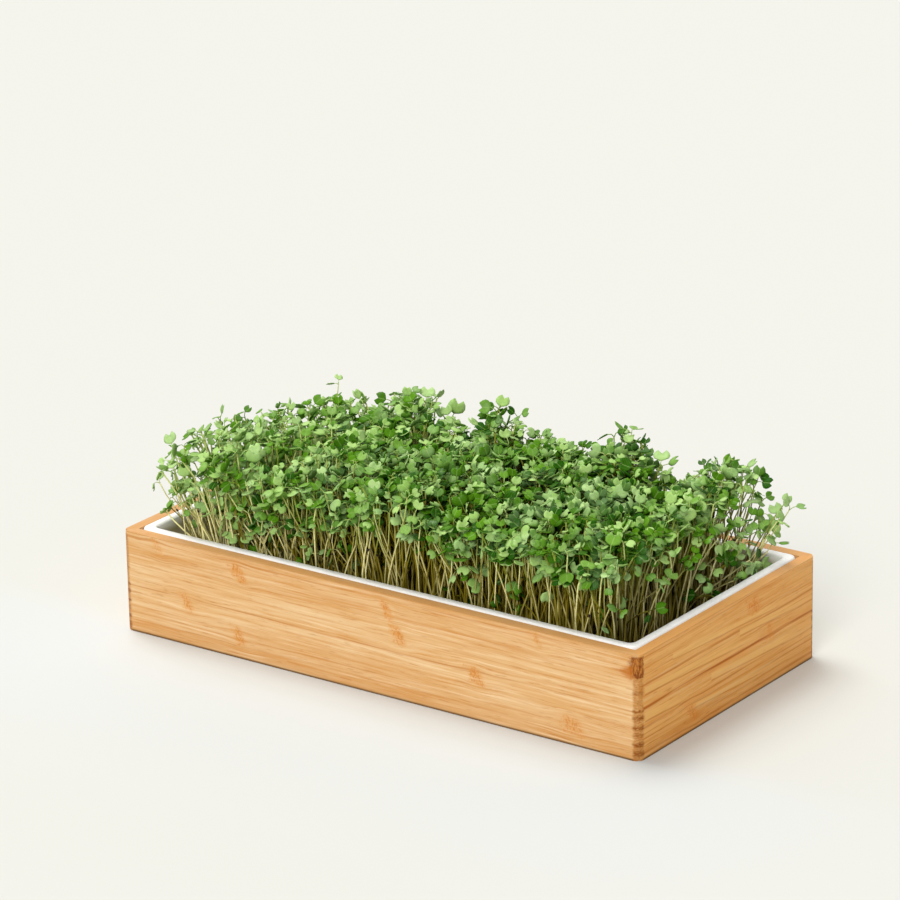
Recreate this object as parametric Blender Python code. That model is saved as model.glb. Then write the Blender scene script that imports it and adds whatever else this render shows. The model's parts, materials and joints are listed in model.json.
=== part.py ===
"""Self-watering microgreens kit, standing on a table.

Four mitred bamboo boards make an open frame. A white moulded tray hangs in it by its rim, in a
rebate around the top. Ribs on the tray's floor hold a coir mat clear of the water, felt
wicks carry the water up to the mat, and tufts of brassica seedlings grow from it.

Metres, +Z up. The origin is at the middle of the frame's underside, +X runs along the
long side and the front board faces -Y.
"""
import math
import random

import bmesh
import bpy
import numpy as np
from mathutils import Matrix, Vector

# Driving dimensions.
FRAME_LENGTH = 0.368
FRAME_WIDTH = 0.188
FRAME_HEIGHT = 0.0635
BOARD_THICKNESS = 0.010
TRAY_DEPTH = 0.052
MAT_THICKNESS = 0.0195
GREENS_HEIGHT = 0.0830          # tallest crown above the top of the mat
TUFT_COLUMNS = 7
TUFT_ROWS = 4

# Bamboo frame.
BOARD_LIP = 0.007               # wood left outside the rebate
REBATE_DEPTH = 0.004
CORNER_RADIUS = 0.005
CORNER_STEPS = 5                # facets of each board's half of a corner
EDGE_EASE = 0.0012
FIT_GAP = 0.0003                # between pieces that touch

# White tray, as insets from the frame's outer faces and heights.
RIM_PROUD = 0.0007
RIM_WIDTH = 0.0065
RIM_CORNER = 0.006
RIM_ROUND_SHARE = 0.25          # of the rim's width, taken by the round of each edge
ROUND_MIDDLE = 0.3              # how far the middle of a round stands in from both its faces
CORNER_INWARD = 0.4             # share of a wall's inset by which its corner radius changes
WALL_THICKNESS = 0.003
WALL_DRAFT = 0.005
FLOOR_THICKNESS = 0.0028
FLOOR_FILLET = 0.003
RIB_COUNT = 3
RIB_WIDTH = 0.004
RIB_HEIGHT = 0.007
RIB_SINK = 0.001                # how far a rib starts inside the floor

# Growing mat and wicks.
FILL_GAP = 0.015                # room for pouring water at each end of the mat
MAT_SIDE_GAP = 0.0005
MAT_CORNER = 0.006
MAT_EDGE = 0.0015
WICK_LENGTH = 0.060
WICK_WIDTH = 0.022

# Seedlings.
ROOTS_ALONG = 3                 # roots in a tuft, along and across
ROOTS_ACROSS = 2
ROOT_SCATTER = 0.25             # how far a root strays, as a share of its room on the tile
ROOT_TILE_THICKNESS = 0.0014
TILE_MARGIN = 0.0015            # between the outer tiles and the mat's edge
STEM_WIDTH = 0.0014
STEM_BEND_HEIGHT = 0.5          # where a stem bends, as a share of its height
STEM_BEND_LEAN = 0.3            # share of its lean that a stem has by then
LEAF_THICKNESS = 0.0007
LEAF_LENGTH = 0.0098
LEAF_WIDTH = 0.0105
LEAF_SIZES = (0.85, 1.1)        # smallest and largest leaf, as a share of those
LEAF_LIFTS = (0.05, 0.35)       # how far a leaf rises, as a share of its length
LEAF_WIDEST = 0.5               # where a leaf is widest, along its length
LEAF_TIP_WIDTH = 0.64           # width of the leaf's end, as a share of its widest
LEAF_TIP_LIFT = 1.1             # rise at the leaf's end, as a share of its lift
LEAF_CLEARANCE = 0.0031         # between sampled points of two seedlings
LEAN_ALONG = 0.004              # how far the stems at the mat's ends lean out
LEAN_ACROSS = 0.014             # how far the stems at its long sides lean over the rim
LEAN_FREE = 0.007               # how far any stem leans by chance
GROWN_SHARES = (0.72, 0.975)    # shortest and tallest, as a share of the greens' height
LOW_SHARE = 0.12                # share of late, short seedlings
LOW_HEIGHT = 0.62               # height of a late seedling, as a share of a full one
LOW_WITHIN = 0.75               # share of the mat's length where those grow
LAST_SHRINK = 0.45              # how much smaller the leaves are at the last try
TRIES = 220
SAMPLES_PER_STEM_HALF = 16
SEED = 11

# Angles in degrees past which an edge stays sharp.
WOOD_SHARP = 40
TRAY_SHARP = 50
MAT_SHARP = 30

HALF_LENGTH = FRAME_LENGTH / 2
HALF_WIDTH = FRAME_WIDTH / 2
RIM_INSET = BOARD_LIP + FIT_GAP
RIM_TOP = FRAME_HEIGHT + RIM_PROUD
RIM_UNDERSIDE = FRAME_HEIGHT - REBATE_DEPTH + FIT_GAP
WALL_INSET = RIM_INSET + RIM_WIDTH
TRAY_UNDERSIDE = RIM_TOP - TRAY_DEPTH
TRAY_FLOOR = TRAY_UNDERSIDE + FLOOR_THICKNESS
RIB_TOP = TRAY_FLOOR + RIB_HEIGHT
MAT_UNDERSIDE = RIB_TOP + FIT_GAP
MAT_TOP = MAT_UNDERSIDE + MAT_THICKNESS
RIM_ROUND = RIM_WIDTH * RIM_ROUND_SHARE
FLOOR_INSET = WALL_INSET + WALL_DRAFT
WALL_FOOT = TRAY_FLOOR + FLOOR_FILLET
WALL_HEAD = RIM_TOP - RIM_ROUND
FLOOR_HALF_WIDTH = HALF_WIDTH - FLOOR_INSET
MAT_HALF_LENGTH = HALF_LENGTH - FLOOR_INSET - FILL_GAP
MAT_HALF_WIDTH = (FLOOR_HALF_WIDTH - MAT_SIDE_GAP
                  + WALL_DRAFT * (MAT_TOP - WALL_FOOT) / (WALL_HEAD - WALL_FOOT))
TILE_UNDERSIDE = MAT_TOP + FIT_GAP
TILE_TOP = TILE_UNDERSIDE + ROOT_TILE_THICKNESS
TUFT_LENGTH = 2 * (MAT_HALF_LENGTH - TILE_MARGIN) / TUFT_COLUMNS
TUFT_WIDTH = 2 * (MAT_HALF_WIDTH - TILE_MARGIN) / TUFT_ROWS


def clear_scene():
    for old in list(bpy.data.objects):
        bpy.data.objects.remove(old, do_unlink=True)


def material(name, colour, roughness, metallic=0.0):
    made = bpy.data.materials.new(name)
    made.use_nodes = True
    shader = made.node_tree.nodes["Principled BSDF"]
    shader.inputs["Base Color"].default_value = (*colour, 1.0)
    shader.inputs["Roughness"].default_value = roughness
    shader.inputs["Metallic"].default_value = metallic
    made.diffuse_color = (*colour, 1.0)
    return made


def finish(bm, name, finish_material, smooth_angle=None):
    """Turn a bmesh into a named object, smooth where its faces meet gently."""
    bmesh.ops.recalc_face_normals(bm, faces=bm.faces)
    mesh = bpy.data.meshes.new(name)
    bm.to_mesh(mesh)
    bm.free()
    if smooth_angle is not None:
        mesh.shade_smooth()
        mesh.set_sharp_from_angle(angle=math.radians(smooth_angle))
    mesh.materials.append(finish_material)
    made = bpy.data.objects.new(name, mesh)
    bpy.context.collection.objects.link(made)
    return made


def block(low, high):
    """A box between two corners, as a bmesh."""
    bm = bmesh.new()
    size = Vector(high) - Vector(low)
    middle = (Vector(high) + Vector(low)) / 2
    bmesh.ops.create_cube(bm, size=1.0, matrix=Matrix.Translation(middle) @ Matrix.Diagonal((*size, 1.0)))
    return bm


def helper_object(bm, name):
    """A shape that only cuts or joins another, so the build leaves it out."""
    mesh = bpy.data.meshes.new(name)
    bm.to_mesh(mesh)
    bm.free()
    made = bpy.data.objects.new(name, mesh)
    bpy.context.collection.objects.link(made)
    made.hide_render = True
    made.display_type = "WIRE"
    return made


def add_boolean(target, tool, operation):
    boolean = target.modifiers.new(tool.name, "BOOLEAN")
    boolean.operation = operation
    boolean.solver = "EXACT"
    boolean.object = tool


def rounded_rectangle(half_x, half_y, radius, z, steps=7):
    """Points around a rectangle with rounded corners, anticlockwise seen from above."""
    points = []
    for quarter in range(4):
        sign_x = 1 if quarter in (0, 3) else -1
        sign_y = 1 if quarter in (0, 1) else -1
        centre_x = sign_x * (half_x - radius)
        centre_y = sign_y * (half_y - radius)
        for step in range(steps + 1):
            angle = math.radians(90 * (quarter + step / steps))
            points.append((centre_x + radius * math.cos(angle), centre_y + radius * math.sin(angle), z))
    return points


def loft(rings):
    """A closed body through rings of points, capped at the first and the last."""
    bm = bmesh.new()
    loops = [[bm.verts.new(point) for point in ring] for ring in rings]
    count = len(loops[0])
    for lower, upper in zip(loops, loops[1:]):
        for i in range(count):
            after = (i + 1) % count
            bm.faces.new((lower[i], lower[after], upper[after], upper[i]))
    bm.faces.new(loops[0])
    bm.faces.new(loops[-1])
    return bm


def board_outline(half, reach, z):
    """Plan of a board along X with its outer face at -Y: rounded to the mitre at each end."""
    straight = half - CORNER_RADIUS
    mitre_angle = math.pi / 4 - math.asin(FIT_GAP / 2 / CORNER_RADIUS)
    right_end = []
    for step in range(CORNER_STEPS + 1):
        angle = mitre_angle * step / CORNER_STEPS
        right_end.append((straight + CORNER_RADIUS * math.sin(angle),
                          CORNER_RADIUS * (1 - math.cos(angle)) - reach, z))
    right_end.append((half - BOARD_THICKNESS - FIT_GAP / math.sqrt(2), BOARD_THICKNESS - reach, z))
    left_end = [(-x, y, z) for x, y, z in reversed(right_end)]
    return right_end + left_end


def mitred_board(name, length, turn, bamboo, rebate):
    """One board of the frame, eased along its outer edges and turned into place."""
    half = length / 2
    reach = HALF_LENGTH + HALF_WIDTH - half
    bm = loft([board_outline(half, reach, 0.0), board_outline(half, reach, FRAME_HEIGHT)])
    tolerance = FIT_GAP / 10

    def is_outer(edge):
        """True along the outer face and its rounds, but not on a mitre or the inner face."""
        level = abs(edge.verts[0].co.z - edge.verts[1].co.z) < tolerance
        near = [CORNER_RADIUS - reach - vertex.co.y > tolerance for vertex in edge.verts]
        return level and all(near)

    outer = [edge for edge in bm.edges if is_outer(edge)]
    bmesh.ops.bevel(bm, geom=outer, offset=EDGE_EASE, segments=2, profile=0.5, affect="EDGES")
    bmesh.ops.rotate(bm, verts=bm.verts, matrix=Matrix.Rotation(math.radians(turn), 3, "Z"))
    made = finish(bm, name, bamboo, smooth_angle=WOOD_SHARP)
    add_boolean(made, rebate, "DIFFERENCE")


def rebate_cutter():
    """The shallow step around the inside of the frame's top, where the rim sits."""
    half_x = HALF_LENGTH - BOARD_LIP
    half_y = HALF_WIDTH - BOARD_LIP
    low = (-half_x, -half_y, FRAME_HEIGHT - REBATE_DEPTH)
    high = (half_x, half_y, FRAME_HEIGHT + REBATE_DEPTH)
    return helper_object(block(low, high), "rebate_cutter")


def make_frame():
    """Four boards, mitred at the corners and rounded there."""
    bamboo = material("bamboo", (0.63, 0.34, 0.13), 0.45)
    rebate = rebate_cutter()
    mitred_board("frame_front", FRAME_LENGTH, 0, bamboo, rebate)
    mitred_board("frame_right", FRAME_WIDTH, 90, bamboo, rebate)
    mitred_board("frame_back", FRAME_LENGTH, 180, bamboo, rebate)
    mitred_board("frame_left", FRAME_WIDTH, 270, bamboo, rebate)


def tray_ring(inset, z, radius):
    return rounded_rectangle(HALF_LENGTH - inset, HALF_WIDTH - inset, radius, z)


def tray_shell():
    """The tray's skin, from its underside up the outside, over the rim and down inside."""
    outer_wall = WALL_INSET - WALL_THICKNESS
    inner_corner = RIM_CORNER - RIM_WIDTH * CORNER_INWARD
    floor_corner = inner_corner + WALL_DRAFT * CORNER_INWARD
    rim_middle = RIM_ROUND * ROUND_MIDDLE
    fillet_middle = FLOOR_FILLET * ROUND_MIDDLE
    return loft([
        tray_ring(outer_wall + WALL_DRAFT + FLOOR_FILLET, TRAY_UNDERSIDE, floor_corner),
        tray_ring(outer_wall + WALL_DRAFT, TRAY_UNDERSIDE + FLOOR_FILLET, floor_corner + FLOOR_FILLET),
        tray_ring(outer_wall, RIM_UNDERSIDE, inner_corner + WALL_THICKNESS),
        tray_ring(RIM_INSET, RIM_UNDERSIDE, RIM_CORNER),
        tray_ring(RIM_INSET, WALL_HEAD, RIM_CORNER),
        tray_ring(RIM_INSET + rim_middle, RIM_TOP - rim_middle, RIM_CORNER - rim_middle),
        tray_ring(RIM_INSET + RIM_ROUND, RIM_TOP, RIM_CORNER - RIM_ROUND),
        tray_ring(WALL_INSET - RIM_ROUND, RIM_TOP, inner_corner + RIM_ROUND),
        tray_ring(WALL_INSET - rim_middle, RIM_TOP - rim_middle, inner_corner + rim_middle),
        tray_ring(WALL_INSET, WALL_HEAD, inner_corner),
        tray_ring(FLOOR_INSET, WALL_FOOT, floor_corner),
        tray_ring(FLOOR_INSET + fillet_middle, TRAY_FLOOR + fillet_middle, floor_corner),
        tray_ring(FLOOR_INSET + FLOOR_FILLET, TRAY_FLOOR, floor_corner),
    ])


def rib_centres():
    """Places of the ribs across the tray, evenly spaced between the long walls."""
    spacing = 2 * FLOOR_HALF_WIDTH / (RIB_COUNT + 1)
    return [spacing * (i + 1) - FLOOR_HALF_WIDTH for i in range(RIB_COUNT)]


def make_tray():
    white = material("white_tray", (0.83, 0.84, 0.83), 0.28)
    tray = finish(tray_shell(), "tray", white, smooth_angle=TRAY_SHARP)
    for number, centre_y in enumerate(rib_centres(), start=1):
        low = (-MAT_HALF_LENGTH, centre_y - RIB_WIDTH / 2, TRAY_FLOOR - RIB_SINK)
        high = (MAT_HALF_LENGTH, centre_y + RIB_WIDTH / 2, RIB_TOP)
        add_boolean(tray, helper_object(block(low, high), f"rib_{number}"), "UNION")


def make_mat():
    """A slab that spreads to the long walls and stops short of the end walls."""
    coir = material("coir", (0.075, 0.042, 0.022), 0.95)
    edge = MAT_EDGE
    half_x = MAT_HALF_LENGTH
    low_half_y = FLOOR_HALF_WIDTH - MAT_SIDE_GAP
    bm = loft([
        rounded_rectangle(half_x - edge, low_half_y - edge, MAT_CORNER, MAT_UNDERSIDE),
        rounded_rectangle(half_x, low_half_y, MAT_CORNER, MAT_UNDERSIDE + edge),
        rounded_rectangle(half_x, MAT_HALF_WIDTH - edge / 4, MAT_CORNER, MAT_TOP - edge),
        rounded_rectangle(half_x - edge, MAT_HALF_WIDTH - edge, MAT_CORNER, MAT_TOP),
    ])
    finish(bm, "coir_mat", coir, smooth_angle=MAT_SHARP)


def make_wicks():
    """Two felt pads that stand on the tray's floor and touch the mat."""
    felt = material("wick_felt", (0.72, 0.70, 0.64), 0.95)
    centres = rib_centres()
    between = [(a + b) / 2 for a, b in zip(centres, centres[1:])]
    for name, centre_x, centre_y in (("wick_left", -MAT_HALF_LENGTH / 2, between[0]),
                                     ("wick_right", MAT_HALF_LENGTH / 2, between[-1])):
        low = (centre_x - WICK_LENGTH / 2, centre_y - WICK_WIDTH / 2, TRAY_FLOOR + FIT_GAP)
        high = (centre_x + WICK_LENGTH / 2, centre_y + WICK_WIDTH / 2, MAT_UNDERSIDE - FIT_GAP)
        bm = block(low, high)
        bmesh.ops.bevel(bm, geom=bm.edges[:], offset=EDGE_EASE, segments=2, profile=0.5, affect="EDGES")
        finish(bm, name, felt, smooth_angle=WOOD_SHARP)


class Seedling:
    """One stem with a pair of seed leaves: where it roots, where its crown is, how it turns."""

    def __init__(self, root, dice, shrink):
        share_x = root.x / MAT_HALF_LENGTH
        share_y = root.y / MAT_HALF_WIDTH
        grown_share = dice.uniform(*GROWN_SHARES)
        if dice.random() < LOW_SHARE and abs(share_x) < LOW_WITHIN:
            grown_share *= LOW_HEIGHT
        height = GREENS_HEIGHT * grown_share
        lean = grown_share * Vector((
            LEAN_ALONG * share_x * abs(share_x) + dice.uniform(-LEAN_FREE, LEAN_FREE),
            LEAN_ACROSS * share_y * abs(share_y) + dice.uniform(-LEAN_FREE, LEAN_FREE),
            0.0,
        ))
        self.root = root
        self.crown = root + lean + Vector((0, 0, height - ROOT_TILE_THICKNESS))
        self.bend = root + lean * STEM_BEND_LEAN + Vector((0, 0, height * STEM_BEND_HEIGHT))
        turn = dice.uniform(0, math.pi)
        self.across = Vector((math.cos(turn), math.sin(turn), 0))
        self.length = LEAF_LENGTH * shrink * dice.uniform(*LEAF_SIZES)
        self.width = LEAF_WIDTH * shrink * dice.uniform(*LEAF_SIZES)
        self.lift = dice.uniform(*LEAF_LIFTS)

    def leaf_stations(self, side):
        """Middle and half-width of the leaf at its widest and at its tip."""
        outward = self.across * side
        rise = Vector((0, 0, self.lift * self.length))
        widest = self.crown + outward * (STEM_WIDTH / 2 + self.length * LEAF_WIDEST) + rise
        tip = self.crown + outward * (STEM_WIDTH / 2 + self.length) + rise * LEAF_TIP_LIFT
        return (widest, self.width / 2), (tip, self.width * LEAF_TIP_WIDTH / 2)

    def samples(self):
        """Points along the stem and over both leaves."""
        sideways = Vector((-self.across.y, self.across.x, 0))
        points = []
        for low, high in ((self.root, self.bend), (self.bend, self.crown)):
            steps = range(SAMPLES_PER_STEM_HALF + 1)
            points += [low.lerp(high, step / SAMPLES_PER_STEM_HALF) for step in steps]
        for side in (-1, 1):
            (widest, wide), (tip, narrow) = self.leaf_stations(side)
            for share in (-1, -0.5, 0, 0.5, 1):
                points.append(widest + sideways * wide * share)
                points.append(tip + sideways * narrow * share)
                points.append(self.crown.lerp(widest, 0.6) + sideways * wide * share * 0.7)
                points.append(widest.lerp(tip, 0.5) + sideways * (wide + narrow) * share / 2)
        return np.array([tuple(point) for point in points])


def inside_footprint(points):
    return (np.abs(points[:, 0]).max() < HALF_LENGTH - FIT_GAP
            and np.abs(points[:, 1]).max() < HALF_WIDTH - FIT_GAP)


def is_clear(points, grown):
    """True if no point comes near a point of a seedling that is already there."""
    for other in grown:
        apart = points[:, None, :] - other[None, :, :]
        if (apart ** 2).sum(axis=2).min() < LEAF_CLEARANCE ** 2:
            return False
    return True


def grow(root, dice, grown):
    """Try leans and turns until a seedling fits among the others, smaller as it goes on."""
    for attempt in range(TRIES):
        seedling = Seedling(root, dice, 1.0 - LAST_SHRINK * attempt / TRIES)
        points = seedling.samples()
        if inside_footprint(points) and is_clear(points, grown):
            grown.append(points)
            return seedling
    return None


def tuft_centres():
    """Middle of each tuft's root tile, row by row from the front left."""
    for row in range(TUFT_ROWS):
        for column in range(TUFT_COLUMNS):
            yield (TUFT_LENGTH * (column + 0.5 - TUFT_COLUMNS / 2),
                   TUFT_WIDTH * (row + 0.5 - TUFT_ROWS / 2))


def root_points(centre, dice):
    """Roots of one tuft, each a little off the middle of its share of the tile."""
    share_x = (TUFT_LENGTH - FIT_GAP) / ROOTS_ALONG
    share_y = (TUFT_WIDTH - FIT_GAP) / ROOTS_ACROSS
    for across in range(ROOTS_ACROSS):
        for along in range(ROOTS_ALONG):
            x = centre[0] + share_x * (along + 0.5 - ROOTS_ALONG / 2)
            y = centre[1] + share_y * (across + 0.5 - ROOTS_ACROSS / 2)
            x += dice.uniform(-ROOT_SCATTER, ROOT_SCATTER) * share_x
            y += dice.uniform(-ROOT_SCATTER, ROOT_SCATTER) * share_y
            yield Vector((x, y, TILE_TOP))


def plant(bm, tile_face, seedling):
    """Draw a stem out of the root tile, then a leaf out of each side of its crown."""
    inner = inset_root(bm, tile_face, seedling)
    half_crown = Vector((0, 0, LEAF_THICKNESS * 0.8))
    for middle in (seedling.bend, seedling.crown - half_crown, seedling.crown + half_crown):
        inner = extrude_stem(bm, inner, middle)
    sides = [face for edge in inner.edges for face in edge.link_faces if face is not inner]
    facing = sorted(sides, key=lambda face: face.calc_center_median().dot(seedling.across))
    for side, face in ((-1, facing[0]), (1, facing[-1])):
        outward = seedling.across * side
        for middle, half_width in seedling.leaf_stations(side):
            face = extrude_leaf(bm, face, middle, outward, half_width)


def inset_root(bm, tile_face, seedling):
    """Cut the stem's small square out of one face of the tile, turned to suit the leaves."""
    bmesh.ops.inset_individual(bm, faces=[tile_face], thickness=STEM_WIDTH)
    first = tile_face.verts[0].co - tile_face.calc_center_median()
    turn = math.atan2(seedling.across.y, seedling.across.x) + math.pi / 4
    quarter = math.pi / 2
    start = turn + quarter * round((math.atan2(first.y, first.x) - turn) / quarter)
    reach = STEM_WIDTH / math.sqrt(2)
    for number, vertex in enumerate(tile_face.verts):
        angle = start + quarter * number
        vertex.co = seedling.root + Vector((math.cos(angle), math.sin(angle), 0)) * reach
    return tile_face


def extrude_face(bm, face):
    return bmesh.ops.extrude_discrete_faces(bm, faces=[face])["faces"][0]


def extrude_stem(bm, face, middle):
    made = extrude_face(bm, face)
    shift = middle - made.calc_center_median()
    bmesh.ops.translate(bm, verts=made.verts[:], vec=shift)
    return made


def extrude_leaf(bm, face, middle, outward, half_width):
    """Draw one end of a leaf out to a flat rectangle about a point."""
    made = extrude_face(bm, face)
    sideways = Vector((-outward.y, outward.x, 0))
    centre = made.calc_center_median()
    offsets = [vertex.co - centre for vertex in made.verts]
    for vertex, offset in zip(made.verts, offsets):
        across = math.copysign(half_width, offset.dot(sideways))
        up = math.copysign(LEAF_THICKNESS / 2, offset.z)
        vertex.co = middle + sideways * across + Vector((0, 0, up))
    return made


def make_tuft(name, centre, dice, grown, green):
    """A root tile with its seedlings, all one body."""
    bm = bmesh.new()
    placing = Matrix.Translation((*centre, TILE_UNDERSIDE)) @ Matrix.Diagonal(
        (TUFT_LENGTH - FIT_GAP, TUFT_WIDTH - FIT_GAP, 1, 1))
    bmesh.ops.create_grid(bm, x_segments=ROOTS_ALONG, y_segments=ROOTS_ACROSS, size=0.5, matrix=placing)
    raised = bmesh.ops.extrude_face_region(bm, geom=bm.faces[:])["geom"]
    top_faces = [item for item in raised if isinstance(item, bmesh.types.BMFace)]
    top_corners = [item for item in raised if isinstance(item, bmesh.types.BMVert)]
    bmesh.ops.translate(bm, verts=top_corners, vec=(0, 0, ROOT_TILE_THICKNESS))
    for root in root_points(centre, dice):
        seedling = grow(root, dice, grown)
        if seedling:
            cell = min(top_faces, key=lambda face: (face.calc_center_median() - root).length)
            top_faces.remove(cell)
            plant(bm, cell, seedling)
    finish(bm, name, green)


def make_seedlings():
    green = material("seedling_green", (0.16, 0.32, 0.07), 0.5)
    dice = random.Random(SEED)
    grown = []
    for number, centre in enumerate(tuft_centres(), start=1):
        make_tuft(f"seedling_tuft_{number:02d}", centre, dice, grown, green)


def main():
    clear_scene()
    make_frame()
    make_tray()
    make_mat()
    make_wicks()
    make_seedlings()


main()
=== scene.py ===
"""Looks of the self-watering microgreens kit: bamboo frame, white tray, coir mat and its crop.

Metres, +Z up. The front board faces -Y and the long side runs along X.
"""

import json
import math
import random

import bmesh
import bpy
import numpy as np
from mathutils import Matrix, Vector, noise

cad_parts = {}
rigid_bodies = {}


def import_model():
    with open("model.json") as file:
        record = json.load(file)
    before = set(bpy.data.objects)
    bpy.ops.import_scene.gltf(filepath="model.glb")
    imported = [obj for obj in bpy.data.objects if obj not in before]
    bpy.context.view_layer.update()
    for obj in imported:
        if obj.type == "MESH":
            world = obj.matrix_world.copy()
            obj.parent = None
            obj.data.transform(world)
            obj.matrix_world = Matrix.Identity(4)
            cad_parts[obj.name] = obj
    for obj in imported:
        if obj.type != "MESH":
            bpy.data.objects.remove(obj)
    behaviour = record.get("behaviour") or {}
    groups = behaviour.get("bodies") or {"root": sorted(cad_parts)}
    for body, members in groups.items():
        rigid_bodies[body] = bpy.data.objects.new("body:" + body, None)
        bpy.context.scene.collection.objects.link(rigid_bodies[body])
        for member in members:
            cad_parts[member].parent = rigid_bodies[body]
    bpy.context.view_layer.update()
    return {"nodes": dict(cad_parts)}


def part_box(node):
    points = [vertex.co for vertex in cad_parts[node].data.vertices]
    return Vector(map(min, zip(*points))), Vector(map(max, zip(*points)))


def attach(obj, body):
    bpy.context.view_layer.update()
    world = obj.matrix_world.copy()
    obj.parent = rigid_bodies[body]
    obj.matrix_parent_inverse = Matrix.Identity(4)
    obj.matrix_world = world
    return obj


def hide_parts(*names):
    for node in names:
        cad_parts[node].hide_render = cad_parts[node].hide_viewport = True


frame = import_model()

ROOT = "root"
HALF_LENGTH = 0.184
HALF_WIDTH = 0.094
FRAME_HEIGHT = 0.0635
STRIP_HEIGHT = 0.013  # of the strips that a bamboo board is laid up from
STRIP_START = -0.005

CORNER_RADIUS = 0.005
BURNS = (  # dark spots on the rounded corners: height, half-height, strength
    (0.0297, 0.0011, 0.85), (0.0255, 0.002, 0.9), (0.0197, 0.0015, 0.9), (0.0152, 0.0014, 0.45),
    (0.0097, 0.0017, 0.85), (0.0042, 0.0028, 0.75), (0.0405, 0.0014, 0.4))
MITRE_CLOSING = 0.00019  # takes up the CAD gap between two boards, so glue shows no crack
MITRE_REACH = 0.0004  # from a corner's middle plane to both boards' mitred faces
WOOD_SHARP = 35  # angles in degrees past which an edge stays sharp
TRAY_SHARP = 50
BOARDS = (  # side, axis that the board runs along, and its looks
    ("front", 0, {
     "seed": 3.1, "tones": (0.75, 0.42, 0.1, 0.05, 0.34, 0.55), "knot_end": 1, "spill": 0.8,
     "lines": ((0.0604, 0.0012, 0.6), (0.05, 0.0006, 0.35), (0.044, 0.0006, 0.3), (0.0385, 0.0006, 0.35),
               (0.0296, 0.0009, 0.62), (0.0215, 0.0005, 0.25), (0.0128, 0.0007, 0.4),
               (0.0085, 0.0008, 0.35)),
     "knots": ((-0.1573, 0.0575, 0.005, 0.6), (-0.0967, 0.0535, 0.0065, 1.0), (-0.1361, 0.027, 0.006, 0.75),
               (-0.0984, 0.0145, 0.006, 0.85), (0.0112, 0.053, 0.0045, 0.95), (0.0186, 0.04, 0.006, 1.0),
               (0.073, 0.027, 0.0065, 1.0), (0.115, 0.059, 0.006, 0.5), (0.14, 0.011, 0.01, 0.75))}),
    ("back", 0, {
     "seed": 8.6, "tones": (0.5, 0.15, 0.4, 0.1, 0.3, 0.5),
     "lines": ((0.056, 0.001, 0.5), (0.044, 0.0006, 0.4), (0.0345, 0.0008, 0.55), (0.018, 0.0007, 0.4)),
     "knots": ((-0.12, 0.027, 0.006, 0.9), (-0.035, 0.053, 0.0065, 0.95), (0.062, 0.0145, 0.006, 0.85),
               (0.131, 0.04, 0.0065, 0.95))}),
    ("left", 1, {
     "seed": 5.3, "tones": (0.6, 0.3, 0.45, 0.15, 0.35, 0.5),
     "lines": ((0.054, 0.0008, 0.5), (0.04, 0.001, 0.6), (0.031, 0.0006, 0.45), (0.016, 0.0008, 0.5)),
     "knots": ((-0.03, 0.053, 0.0065, 0.9), (0.048, 0.027, 0.006, 0.85))}),
    ("right", 1, {
     "seed": 12.4, "tones": (0.75, 0.4, 0.3, 0.35, 0.42, 0.55), "knot_end": -1, "painted_warm_shade": 1.0,
     "lines": ((0.0612, 0.0008, 0.55), (0.0545, 0.0004, 0.35), (0.0505, 0.0007, 0.5), (0.0445, 0.0014, 0.7),
               (0.0415, 0.0005, 0.4), (0.038, 0.001, 0.6), (0.031, 0.0016, 1.0), (0.0195, 0.001, 0.75),
               (0.016, 0.0005, 0.55), (0.013, 0.0008, 0.6), (0.0085, 0.0006, 0.5), (0.004, 0.0014, 0.6)),
     "knots": ((0.026, 0.0545, 0.01, 0.8), (0.043, 0.033, 0.007, 0.6), (-0.04, 0.012, 0.007, 0.85)),
     "pale": ((-0.0885, -0.03, 0.0256, 0.0026), (-0.0885, 0.03, 0.0412, 0.0022),
              (-0.06, 0.07, 0.052, 0.0018), (-0.02, 0.088, 0.0262, 0.0022), (-0.045, 0.05, 0.015, 0.0014),
              (0.01, 0.088, 0.043, 0.002))}))

RIM_TOP = 0.0642
INNER_LENGTH = 0.17  # half the tray's opening at the rim
INNER_WIDTH = 0.08

CROP_HEIGHT = 0.0778  # tallest leaves above the mat
SPROUTS_PER_TUFT = 126  # or a few more, to fill every row
ROOT_SPREAD = 0.013  # most that a root lies to the side of its place in the crop
ROOT_DEPTH = 0.0012  # in the mat
STEM_RADIUS = 0.0005
STEM_POINTS = 9  # along a stem's path
STEM_SWAY = (0.002, 0.014)
STEM_WAVE = 0.0004  # how far each point strays from the path's curve
STALK_POINTS = 5
LEAF_SIZE = 0.0058
LEAF_SHAPES = (  # notch, dish, fold and breadth, in leaf lengths
    (0.22, 0.05, 0.04, 1.2), (0.3, 0.09, 0.06, 1.3), (0.16, 0.03, 0.1, 1.08), (0.26, -0.05, 0.02, 1.22))
LEAF_THICKNESS = 0.055  # in leaf lengths
LEAF_ROOM = 1.45  # from a crown to its leaves' tips, in leaf lengths
LEAF_ANGLES = (math.pi, 2.7, 2.3, 1.9)  # between a sprout's two leaves
LEAN_LEFT = 0.019  # how far the crowns at the crop's edges lean out
LEAN_RIGHT = 0.01
LEAN_BACK = 0.012  # added at the right end, towards the back
LEAN_SIDES = 0.01
LEAN_FREE = 0.0085  # how far any crown leans by chance
CANOPY_DEPTH = 0.24  # share of the full height over which the leaves are spread
STRAYS = 0.06  # a chance below it makes a sprout lean far
STRAY_LEAN = 0.024
LOW = 0.075  # from there up to this, a sprout stays low
LOW_LEFT = 0.18  # or this, in the left third
FALLEN = (0.2, 0.225)  # between these, it leans farthest
FALLEN_LEAN = 0.034
TALL = 0.988  # above it, it is taller than the rest
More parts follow.
